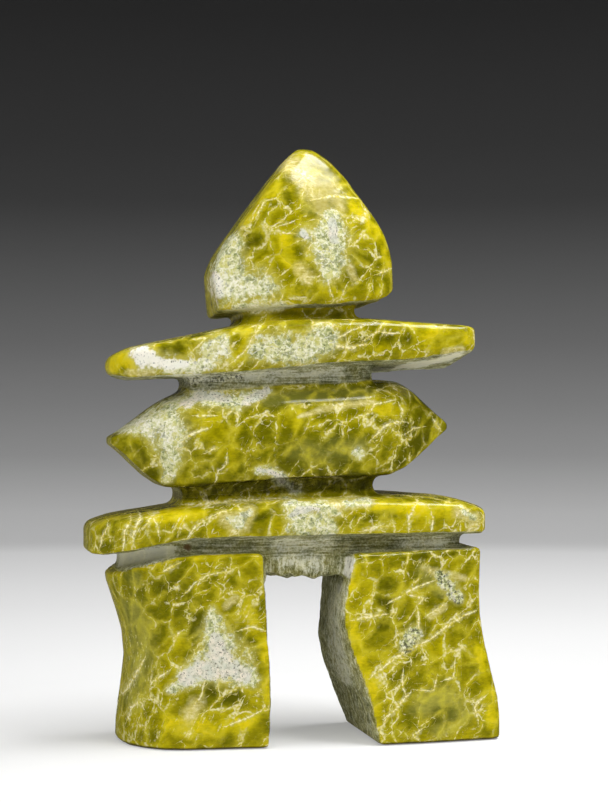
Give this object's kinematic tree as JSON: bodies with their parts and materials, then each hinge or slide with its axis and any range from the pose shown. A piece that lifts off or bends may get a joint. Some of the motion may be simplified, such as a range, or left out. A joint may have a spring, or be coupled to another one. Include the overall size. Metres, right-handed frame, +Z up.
{
  "type": "inukshuk sculpture",
  "caption": "Solid carved stone inukshuk: legs, hip slab, body, arm slab and pointed head, with sawn grooves between them. It stands on the flat soles of its legs.",
  "frame": {"origin": "on the ground, under the middle of the whole outline", "axes": "+Z up, front of the figure towards -Y, +X to the right as seen from the front, along the arm slab"},
  "size_m": [0.1678, 0.063, 0.2436],
  "materials": {
    "serpentine": "polished yellow-green serpentine with cream veins and grey-white granular patches; the grooves and the inner face of a leg are left matt from the saw and rasp"
  },
  "bodies": {
    "root": {"inukshuk": "serpentine"}
  },
  "joints": []
}
